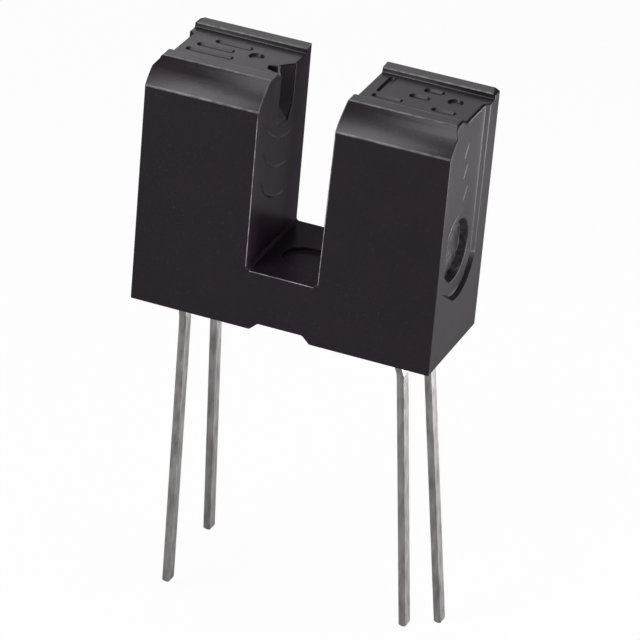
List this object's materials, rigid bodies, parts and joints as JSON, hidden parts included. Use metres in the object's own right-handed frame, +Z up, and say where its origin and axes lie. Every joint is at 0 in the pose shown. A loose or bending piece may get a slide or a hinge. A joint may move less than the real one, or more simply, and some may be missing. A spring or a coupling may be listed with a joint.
{
  "type": "slotted optical switch",
  "caption": "Black U-shaped slotted optical switch: infrared emitter and phototransistor face each other across a narrow slot, on straight tinned through-hole leads.",
  "frame": {"origin": "middle of the underside, on the plane of the two feet that sit on the circuit board", "axes": "+X across the slot from the emitter tower to the sensor tower, -Y the front with the sloping shoulders, +Z up out of the board; the leads point down, through the board"},
  "size_m": [0.0122, 0.0048, 0.0225],
  "materials": {
    "housing": "fine satin black moulding",
    "lead": "tinned, with fine draw lines",
    "emitter_resin": "clear pale blue resin",
    "sensor_resin": "dark infrared-passing resin",
    "potting": "matt black resin",
    "emitter_chip": "polished semiconductor",
    "sensor_chip": "polished semiconductor",
    "die_attach": "silver-filled adhesive",
    "gold": "bright gold"
  },
  "bodies": {
    "root": {"housing": "housing", "emitter_anode_lead": "lead", "emitter_cathode_lead": "lead", "sensor_emitter_lead": "lead", "sensor_collector_lead": "lead", "emitter_package": "emitter_resin", "sensor_package": "sensor_resin", "emitter_potting": "potting", "sensor_potting": "potting", "emitter_die": "emitter_chip", "sensor_die": "sensor_chip", "emitter_die_attach": "die_attach", "sensor_die_attach": "die_attach", "emitter_bond_wire": "gold", "sensor_bond_wire": "gold"}
  },
  "joints": []
}
